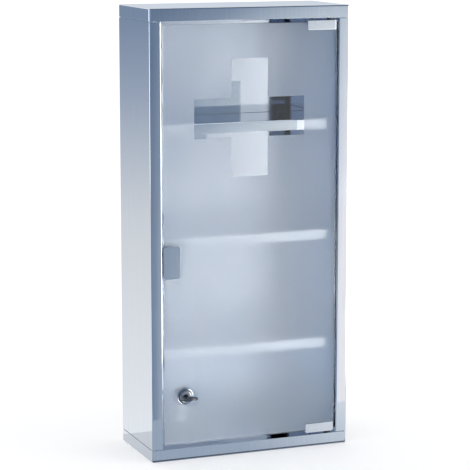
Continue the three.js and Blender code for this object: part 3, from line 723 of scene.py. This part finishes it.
def add_rivet(node, material):
    """A round-headed rivet, with its head inside the cabinet."""
    low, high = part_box(node)
    head_rear = low.y + RIVET_DOME
    dome = arc((0, head_rear), (RIVET_HEAD, -RIVET_DOME), 90, 0, ARC_STEPS)[1:]
    profile = [(RIVET_TIP, low.y), *dome, (RIVET_SHANK, head_rear), (RIVET_SHANK, high.y)]
    mesh = bmesh.new()
    rings = turn(mesh, profile, (low.x + high.x) / 2, (low.z + high.z) / 2)
    fill(mesh, [rings[0]])
    fill(mesh, [rings[-1]])
    piece = new_piece(f"{node}_round", mesh, [material], "carcass", node)
    soften(piece, SMALL_EDGE)


def flat_stage(name, corners, material):
    """A flat sheet of the studio, which isn't part of the object."""
    mesh = bpy.data.meshes.new(name)
    mesh.from_pydata(corners, [], [range(len(corners))])
    mesh.materials.append(material)
    sheet = bpy.data.objects.new(name, mesh)
    bpy.context.scene.collection.objects.link(sheet)
    return sheet


def hide_from(sheet, *rays):
    """Hides a sheet of the studio from some kinds of ray."""
    for ray in rays:
        setattr(sheet, f"visible_{ray}", False)


def glow_material(name):
    """A material that only shines, with its colour still to be set."""
    material = bpy.data.materials.new(name)
    material.use_nodes = True
    tree = material.node_tree
    tree.nodes.clear()
    shine = add_node(tree, "ShaderNodeEmission", Strength=1.0)
    surface = add_node(tree, "ShaderNodeOutputMaterial")
    tree.links.new(shine.outputs["Emission"], surface.inputs["Surface"])
    return material, shine


def faded(tree, value, stops):
    """A colour that fades through several, each at its own value."""
    start, end = stops[0][0], stops[-1][0]
    ramp = add_node(tree, "ShaderNodeValToRGB")
    elements = ramp.color_ramp.elements
    while len(elements) < len(stops):
        elements.new(1.0)
    for element, (place, colour) in zip(elements, stops):
        element.position = (place - start) / (end - start)
        element.color = (*colour, 1)
    tree.links.new(ranged(tree, value, 0, 1, start, end), ramp.inputs["Fac"])
    return ramp.outputs["Color"]


def along(tree, axis):
    """The object coordinate along one axis."""
    place = add_node(tree, "ShaderNodeTexCoord")
    split = add_node(tree, "ShaderNodeSeparateXYZ")
    tree.links.new(place.outputs["Object"], split.inputs["Vector"])
    return split.outputs[axis]


def away(tree, place, stretch):
    """The object coordinate's distance from a place, with each axis scaled."""
    apart = add_node(tree, "ShaderNodeVectorMath", operation="DISTANCE")
    apart.inputs[1].default_value = [a * b for a, b in zip(place, stretch)]
    tree.links.new(stretched(tree, stretch), apart.inputs[0])
    return apart.outputs["Value"]


def add_room():
    """The dark room in front, with a softbox whose edge fades."""
    material, shine = glow_material("room_glow")
    tree = material.node_tree
    glow = faded(tree, away(tree, SOFTBOX_PLACE, SOFTBOX_STRETCH), ROOM_STOPS)
    tree.links.new(glow, shine.inputs["Color"])
    corners = [
        (-ROOM_HALF, ROOM_Y, ROOM_BOTTOM), (ROOM_HALF, ROOM_Y, ROOM_BOTTOM),
        (ROOM_HALF, ROOM_Y, ROOM_TOP), (-ROOM_HALF, ROOM_Y, ROOM_TOP),
    ]
    room = flat_stage("room", corners, material)
    hide_from(room, "camera", "shadow")


def add_mirrored(name, corners, axis, stops):
    """A sheet of the studio that fades along one axis, and that only metal and glass show."""
    material, shine = glow_material(name)
    tree = material.node_tree
    tree.links.new(faded(tree, along(tree, axis), stops), shine.inputs["Color"])
    sheet = flat_stage(name, corners, material)
    hide_from(sheet, "camera", "shadow", "diffuse")


def add_wall(name, place, turned, height, stops):
    """A shaded wall behind, pale at its foot."""
    across = Vector((math.cos(turned), math.sin(turned), 0)) * WALL_HALF
    middle = Vector((*place, 0))
    rise = Vector((0, 0, height))
    corners = [middle - across, middle + across, middle + across + rise, middle - across + rise]
    add_mirrored(name, corners, "Z", stops)


def level_corners(left, right, front, rear, z):
    """The corners of a level sheet."""
    return [(left, front, z), (right, front, z), (right, rear, z), (left, rear, z)]


def upright_corners(x, front, rear, bottom, top):
    """The corners of an upright sheet that faces sideways."""
    return [(x, front, bottom), (x, rear, bottom), (x, rear, top), (x, front, top)]


def add_glass_card(name, corners, glow):
    """A bright card that only glass shows."""
    material, shine = glow_material(name)
    shine.inputs["Color"].default_value = (*glow, 1)
    card = flat_stage(name, corners, material)
    hide_from(card, "camera", "shadow", "glossy", "diffuse")


def add_glass_cards():
    """Three cards that light the frosting: overhead, close by at the left, and on the table."""
    overhead = level_corners(-OVERHEAD_HALF, OVERHEAD_HALF, OVERHEAD_FRONT, OVERHEAD_REAR, OVERHEAD_Z)
    add_glass_card("overhead_card", overhead, OVERHEAD_GLOW)
    near = upright_corners(NEAR_X, NEAR_FRONT, NEAR_REAR, 0, NEAR_TOP)
    add_glass_card("near_card", near, NEAR_GLOW)
    foot = level_corners(FOOT_LEFT, FOOT_RIGHT, TABLE_FRONT, BODY_FRONT, FOOT_LIFT)
    add_glass_card("foot_card", foot, FOOT_GLOW)


def add_surroundings():
    """What the metal mirrors besides the room: sheets over, beside, under and behind the cabinet."""
    # Painted shade of the table's front, darker at the left, which only metal and glass show
    strip = level_corners(STRIP_LEFT, STRIP_RIGHT, TABLE_FRONT, BODY_FRONT, STRIP_LIFT)
    add_mirrored("table_front", strip, "X", STRIP_STOPS)
    ceiling = level_corners(-CEILING_HALF, CEILING_HALF, ROOM_Y, CEILING_REAR, ROOM_TOP)
    add_mirrored("ceiling", ceiling, "Y", DARK_STOPS)
    dark_side = upright_corners(SIDE_X, ROOM_Y, SIDE_REAR, ROOM_BOTTOM, ROOM_TOP)
    add_mirrored("dark_side", dark_side, "Y", DARK_STOPS)
    bright_side = upright_corners(BRIGHT_X, BRIGHT_FRONT, BRIGHT_REAR, ROOM_BOTTOM, ROOM_TOP)
    add_mirrored("bright_side", bright_side, "Y", BRIGHT_STOPS)
    # Painted shadow on the table at the cabinet's foot and beside it, which only metal and glass show
    shade = level_corners(STRIP_LEFT, STRIP_RIGHT, SHADE_FRONT, BODY_FRONT, SHADE_LIFT)
    add_mirrored("front_shade", shade, "X", SHADE_STOPS)
    side_shade = level_corners(SIDE_SHADE_LEFT, BODY_LEFT, BODY_FRONT, SIDE_SHADE_REAR, SHADE_LIFT)
    add_mirrored("side_shade", side_shade, "Y", SIDE_SHADE_STOPS)
    # The floor at the left as metal mirrors it, painted darker towards the back
    left_floor = level_corners(
        LEFT_FLOOR_LEFT, BODY_LEFT, SIDE_SHADE_REAR, LEFT_FLOOR_REAR, SHADE_LIFT,
    )
    add_mirrored("left_floor", left_floor, "Y", LEFT_FLOOR_STOPS)
    card = level_corners(CARD_LEFT, CARD_RIGHT, CARD_FRONT, CARD_REAR, CARD_Z)
    add_mirrored("low_card", card, "Y", CARD_STOPS)
    add_wall("left_wall", WALL_PLACE, WALL_TURN, WALL_HEIGHT, WALL_STOPS)
    add_wall("rear_wall", REAR_PLACE, REAR_TURN, REAR_HEIGHT, REAR_STOPS)


def add_lamp():
    """A large soft lamp that points at the cabinet."""
    data = bpy.data.lights.new("soft_lamp", "AREA")
    data.shape = "RECTANGLE"
    data.size = LAMP_WIDTH
    data.size_y = LAMP_HEIGHT
    data.energy = LAMP_POWER
    data.color = LAMP_COLOUR
    lamp = bpy.data.objects.new("soft_lamp", data)
    lamp.location = LAMP_PLACE
    direction = Vector(LAMP_AIM) - Vector(LAMP_PLACE)
    lamp.rotation_euler = direction.to_track_quat("-Z", "Y").to_euler()
    bpy.context.scene.collection.objects.link(lamp)


def add_table():
    """The pale table top that the cabinet stands on."""
    material, tree, shader = new_material("table_top", Roughness=0.6, Specular_IOR_Level=0.0)
    shader.inputs["Base Color"].default_value = (FLOOR_TONE, FLOOR_TONE, FLOOR_TONE, 1)
    path = add_node(tree, "ShaderNodeLightPath")
    shown = path.outputs["Is Camera Ray"]
    for ray in ("Is Glossy Ray", "Is Transmission Ray"):
        either = add_node(tree, "ShaderNodeMath", operation="MAXIMUM")
        tree.links.new(shown, either.inputs[0])
        tree.links.new(path.outputs[ray], either.inputs[1])
        shown = either.outputs["Value"]
    shader.inputs["Emission Color"].default_value = (*WHITE, 1)
    tree.links.new(ranged(tree, shown, 0, FLOOR_GLOW, 0, 1), shader.inputs["Emission Strength"])
    flat_stage("table", level_corners(-TABLE_HALF, TABLE_HALF, TABLE_FRONT, TABLE_REAR, 0), material)


def add_world():
    """White all round."""
    world = bpy.data.worlds.new("studio")
    world.use_nodes = True
    background = world.node_tree.nodes["Background"]
    background.inputs["Color"].default_value = (*WHITE, 1)
    background.inputs["Strength"].default_value = 1.0
    bpy.context.scene.world = world


def add_camera():
    """The camera of the photograph."""
    data = bpy.data.cameras.new("camera")
    data.sensor_width = CAMERA_SENSOR
    data.lens = CAMERA_LENS
    camera = bpy.data.objects.new("camera", data)
    camera.location = CAMERA_PLACE
    camera.rotation_euler = (math.pi / 2 - CAMERA_PITCH, 0, -CAMERA_YAW)
    bpy.context.scene.collection.objects.link(camera)
    bpy.context.scene.camera = camera


for leftover in ("Camera", "Cube", "Light"):
    if leftover in bpy.data.objects:
        bpy.data.objects.remove(bpy.data.objects[leftover])

smooth_bends = smoothing_group()

# Materials
steel = metal(
    "steel",
    dull=(0.66, 0.70, 0.76),
    bright=(0.71, 0.75, 0.80),
    worn_and_sheen=(0.78, 0.81, 0.85),
    roughness=(0.03, 0.08),
    lines=(1800, 1800, 14),
    wave=0.05,
)
# A lighter copy of the steel for the shelves: painted light that brightens their lips behind the
# frosting
lit_shelf_steel = metal(
    "lit_shelf_steel",
    dull=(0.76, 0.79, 0.83),
    bright=(0.82, 0.84, 0.87),
    worn_and_sheen=(0.86, 0.88, 0.90),
    roughness=(0.03, 0.08),
    lines=(14, 1800, 1800),
    wave=0.05,
)
chrome = metal(
    "chrome",
    dull=(0.77, 0.79, 0.82),
    bright=(0.83, 0.85, 0.87),
    worn_and_sheen=(0.88, 0.89, 0.9),
    roughness=(0.04, 0.1),
    lines=(900, 900, 300),
    wave=0.05,
)
satin = metal(
    "satin",
    dull=(0.68, 0.70, 0.72),
    bright=(0.76, 0.78, 0.80),
    worn_and_sheen=(0.84, 0.85, 0.86),
    roughness=(0.24, 0.34),
    lines=(900, 900, 300),
    wave=0.05,
)
zinc = metal(
    "zinc",
    dull=(0.54, 0.57, 0.61),
    bright=(0.64, 0.66, 0.69),
    worn_and_sheen=(0.74, 0.76, 0.78),
    roughness=(0.28, 0.42),
    lines=(700, 700, 700),
    wave=0.1,
)
# Near black nickel for the key: its pale edge colour is painted highlight along the key's rims,
# besides wear
nickel = metal(
    "nickel",
    dull=(0.10, 0.105, 0.115),
    bright=(0.16, 0.165, 0.175),
    worn_and_sheen=(0.44, 0.45, 0.47),
    roughness=(0.16, 0.28),
    lines=(900, 300, 900),
    wave=0.1,
)
nylon = moulded(
    "nylon",
    dark=(0.03, 0.032, 0.036),
    pale=(0.055, 0.057, 0.062),
    roughness=(0.42, 0.58),
    grain_size=900,
)
vinyl = moulded(
    "vinyl",
    dark=(0.66, 0.69, 0.71),
    pale=(0.76, 0.78, 0.79),
    roughness=(0.35, 0.5),
    grain_size=700,
)
rubber = moulded(
    "rubber",
    dark=(0.025, 0.025, 0.028),
    pale=(0.045, 0.045, 0.05),
    roughness=(0.65, 0.85),
    grain_size=1200,
)
ferrite = moulded(
    "ferrite",
    dark=(0.05, 0.05, 0.055),
    pale=(0.09, 0.09, 0.095),
    roughness=(0.5, 0.7),
    grain_size=1500,
)
clear_glass = glass(
    "clear_glass",
    dull=(0.97, 0.985, 0.985),
    clear=(0.985, 0.99, 0.99),
    roughness=(0.0, 0.01),
    grain_size=40,
)
# Ground glass for the edges: its near black streaks are painted shade
ground_glass = glass(
    "ground_glass",
    dull=(0.02, 0.03, 0.05),
    clear=(0.9, 0.93, 0.96),
    roughness=(0.1, 0.3),
    grain_size=1,
    size=(20, 20, 14),
    patches=(0.3, 0.42),
)
# Painted shade: the ground edges darken further towards the hinge side
edge_shade_place = along(ground_glass.node_tree, "X")
paint_shade(ground_glass, dark=(0.006, 0.008, 0.012), place=edge_shade_place, start=EDGE_PALE, end=EDGE_DARK)
# Painted shade: the plug's satin face darkens round the keyway
keyway_shade_place = away(satin.node_tree, middle_of("lock_plug"), FROM_AXIS)
paint_shade(satin, dark=(0.01, 0.01, 0.012), place=keyway_shade_place, start=KEYWAY_PALE, end=KEYWAY_DARK)
frosted_glass = glass(
    "frosted_glass",
    dull=(0.98, 0.99, 1.0),
    clear=(0.99, 0.995, 1.0),
    roughness=(0.49, 0.57),
    grain_size=900,
)
# The haze's shaded colour is painted shade towards the right of the pane
hazed(
    frosted_glass,
    dull=(0.84, 0.91, 1.0),
    pale=(0.9, 0.95, 1.0),
    shaded=(0.66, 0.77, 0.9),
    share=0.36,
)

# Finishes and edges of the CAD nodes, by their material or by name
by_slot = {
    "polished_steel": steel,
    "chrome_fitting": chrome,
    "zinc": zinc,
    "nickel": nickel,
    "nylon": nylon,
    "frosted_glass": frosted_glass,
    "vinyl": vinyl,
    "rubber": rubber,
    "ferrite": ferrite,
}
by_name = {
    "door_pull": steel,
    "lock_plug": satin,
    "lower_shelf": lit_shelf_steel,
    "middle_shelf": lit_shelf_steel,
    "upper_shelf": lit_shelf_steel,
}
edges = {"polished_steel": SHEET_EDGE, "chrome_fitting": FITTING_EDGE}
for name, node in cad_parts.items():
    cad_slot = node.material_slots[0].material.name
    finish(by_name.get(name, by_slot[cad_slot]), name)
    edge = SMALL_EDGE if name in FINE_FITTINGS else edges.get(cad_slot, SMALL_EDGE)
    soften(node, edge)

# Pieces with finer forms, each in place of a CAD node
add_door_pane(clear_glass, frosted_glass, ground_glass)
add_lock_housing(chrome, nickel)
add_key(nickel)
for name in list(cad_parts):
    if name.endswith("_rivet"):
        add_rivet(name, zinc)

# Studio
add_table()
add_room()
add_surroundings()
add_glass_cards()
add_lamp()
add_world()
add_camera()
bpy.context.scene.view_settings.view_transform = "Standard"
